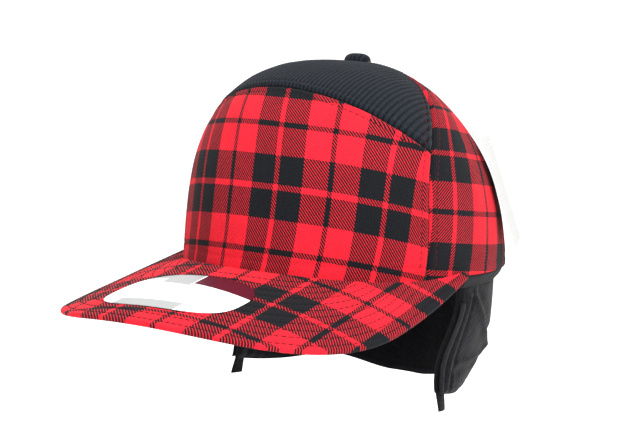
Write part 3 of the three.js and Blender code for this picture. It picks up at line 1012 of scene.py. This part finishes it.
def flap_grids(turns, steps):
    """A flap's outer and inner faces, sewn down along its edges and softly folded between them."""
    across, up = grid(*steps)
    turn = turns[0] * (1 - across) + turns[1] * across
    drop = flap_hem(turn) * (1 - up) + FLAP_START_DROP * up
    smooth = flap_point(turn, drop, 0)
    along, rise = running_length(smooth, 0), running_length(smooth, 1)
    to_edge = np.minimum(np.minimum(along, along[-1:] - along), rise)
    tuck = flap_tuck(to_edge)
    upright_folds = noise_at(smooth * np.array([1, 1, 0.45]), 13.0, 2.0)
    folds = 0.7 * upright_folds + 0.9 * noise_at(smooth, 27.0, 5.0)
    folds = folds * smoothstep(to_edge, 1.0, 9.0)
    for line, height, width in FLAP_CREASES:
        folds = folds + height * crease(turn, drop, line, width)
    outer = flap_point(turn, drop, tuck - folds)
    inner = flap_point(turn, drop, FLAP_THICKNESS - tuck - 0.5 * folds)
    cloth = np.stack([along, rise], axis=-1)
    return outer, inner, cloth


def add_flap(name, turns, steps, nodes, mirrored=False):
    outer, inner, cloth = flap_grids(turns, steps)
    if mirrored:
        outer, inner, cloth = mirror_grid(outer), mirror_grid(inner), cloth[::-1]
    piece = add_sheet(name, outer, inner, cloth)
    paint(piece, fleece)
    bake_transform(piece)
    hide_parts(*nodes)


def add_trim(name, drops, trim, body, node, mirrored):
    """A rounded strip at an ear flap's front edge."""
    across, up = grid(10, 60)
    start = EAR_TURNS[0]
    end = start + math.degrees(trim["width"] / TRIM_RADIUS)
    turn = start * (1 - across) + end * across
    drop = drops[1] * (1 - up) + drops[0] * up
    rounding = 0.35 * (1 - np.sin(np.pi * across) ** 0.5) * trim["thickness"]
    outer = flap_point(turn, drop, trim["inward"] + rounding)
    inner = flap_point(turn, drop, trim["inward"] + trim["thickness"] - rounding)
    cloth = np.stack([across * TRIM_CLOTH[0], up * TRIM_CLOTH[1]], axis=-1)
    if mirrored:
        outer, inner, cloth = mirror_grid(outer), mirror_grid(inner), cloth[::-1]
    piece = add_sheet(name, outer, inner, cloth)
    paint(piece, fleece)
    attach(piece, body)
    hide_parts(node)


def flap_nodes(body):
    return [f"{body}_{layer}" for layer in ("shell", "pad", "lining")]


def add_flaps():
    hem = float(flap_hem(np.array(EAR_TURNS[0])))
    binding_drops = (BINDING["top"], hem)
    tab_drops = (hem - TAB["above_hem"], hem + TAB["below_hem"])
    for side, mirrored in (("left", False), ("right", True)):
        body = f"{side}_ear_flap"
        add_flap(f"{side}_ear_cloth", EAR_TURNS, (90, 80), flap_nodes(body), mirrored)
        add_trim(f"{side}_ear_binding", binding_drops, BINDING, body, f"{body}_strip", mirrored)
        add_trim(f"{side}_ear_tab_tape", tab_drops, TAB, body, f"{body}_tab", mirrored)
    add_flap("nape_cloth", NAPE_TURNS, (150, 80), flap_nodes("nape_flap"))


def add_root_band():
    """The padded band that stays on the crown, above the flaps."""
    across, up = grid(260, 16)
    start, end = ROOT_BAND["turns"]
    top, bottom = ROOT_BAND["drops"]
    turn = start * (1 - across) + end * across
    drop = bottom * (1 - up) + top * up
    smooth = crown_point(turn, -drop, 3.0)
    puff = (0.7 + 0.5 * noise_at(smooth, 12.0, 9.0)) * np.sin(np.pi * up)
    depth = FLAP_TOP_INSET * (1 - up) + ROOT_BAND["top_depth"] * up
    outer = crown_point(turn, -drop, depth - puff)
    inner = crown_point(turn, -drop, depth + ROOT_BAND["thickness"])
    outer[..., 2] = inner[..., 2] = -drop
    piece = add_sheet("root_band_cloth", outer, inner, np.stack([turn, drop], axis=-1))
    paint(piece, fleece)
    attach(piece, "crown")
    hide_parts("flap_root_band")


def paint_cad_nodes():
    finishes = {
        "brim_board": board,
        "front_buckram": buckram,
        "cross_seam_tape": tape,
        "back_seam_tape": tape,
        "sweatband": tape,
        "button_washer": steel,
        "tag_card": card,
        "tag_loop": nylon,
    }
    for side in ("left", "right"):
        for seam in ("front", "rear"):
            finishes[f"{side}_{seam}_seam_tape"] = tape
    for name, material in finishes.items():
        paint(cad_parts[name], material)


# ---- Stage and lights ----

def add_stage():
    """A pale floor that curves up into a backdrop."""
    depth, width, top, radius, floor = 2.6, 3.2, 2.6, 1.2, -0.17
    profile = [(-depth, floor), (depth - radius, floor)]
    for angle in np.linspace(0, np.pi / 2, 24)[1:]:
        along = depth - radius + radius * math.sin(angle)
        profile.append((along, floor + radius * (1 - math.cos(angle))))
    profile.append((depth, top))
    azimuth = math.radians(CAMERA_AZIMUTH)
    right = np.array([math.cos(azimuth), math.sin(azimuth), 0])
    forward = np.array([-math.sin(azimuth), math.cos(azimuth), 0])
    vertices = []
    for along, height in profile:
        for side in (-width, width):
            vertices.append(right * side + forward * along + np.array([0, 0, height]))
    faces = [(2 * i, 2 * i + 1, 2 * i + 3, 2 * i + 2) for i in range(len(profile) - 1)]
    mesh = bpy.data.meshes.new("backdrop")
    mesh.from_pydata([tuple(v) for v in vertices], [], faces)
    mesh.shade_smooth()
    backdrop = bpy.data.objects.new("backdrop", mesh)
    bpy.context.scene.collection.objects.link(backdrop)
    paper = card_material("backdrop_white", (0.93, 0.93, 0.93, 1), 0.9)
    shader = paper.node_tree.nodes["Principled BSDF"]
    shader.inputs["Emission Color"].default_value = (1, 1, 1, 1)
    shader.inputs["Emission Strength"].default_value = 0.3
    paint(backdrop, paper)


def add_light(name, azimuth, elevation, distance, size, power):
    data = bpy.data.lights.new(name, "AREA")
    data.shape = "DISK"
    data.size = size
    data.energy = power
    made = bpy.data.objects.new(name, data)
    a, e = math.radians(azimuth), math.radians(elevation)
    place = Vector((math.sin(a) * math.cos(e), -math.cos(a) * math.cos(e), math.sin(e))) * distance
    made.location = place
    made.rotation_euler = place.to_track_quat("Z", "Y").to_euler()
    bpy.context.scene.collection.objects.link(made)


def add_lights():
    world = bpy.data.worlds.new("studio")
    world.use_nodes = True
    background = world.node_tree.nodes["Background"]
    background.inputs["Color"].default_value = (1, 1, 1, 1)
    background.inputs["Strength"].default_value = 0.6
    bpy.context.scene.world = world
    bpy.context.scene.view_settings.view_transform = "Standard"
    add_light("key", azimuth=58, elevation=42, distance=1.6, size=0.8, power=30)
    add_light("fill", azimuth=0, elevation=25, distance=1.8, size=1.2, power=9)
    add_light("top", azimuth=30, elevation=82, distance=1.6, size=1.0, power=14)


add_camera()
add_crown()
add_crown_stitching()
add_button()
add_brim_top()
add_brim_underside()
add_brim_stitching()
add_sticker()
add_root_band()
add_flaps()
paint_cad_nodes()
add_stage()
add_lights()
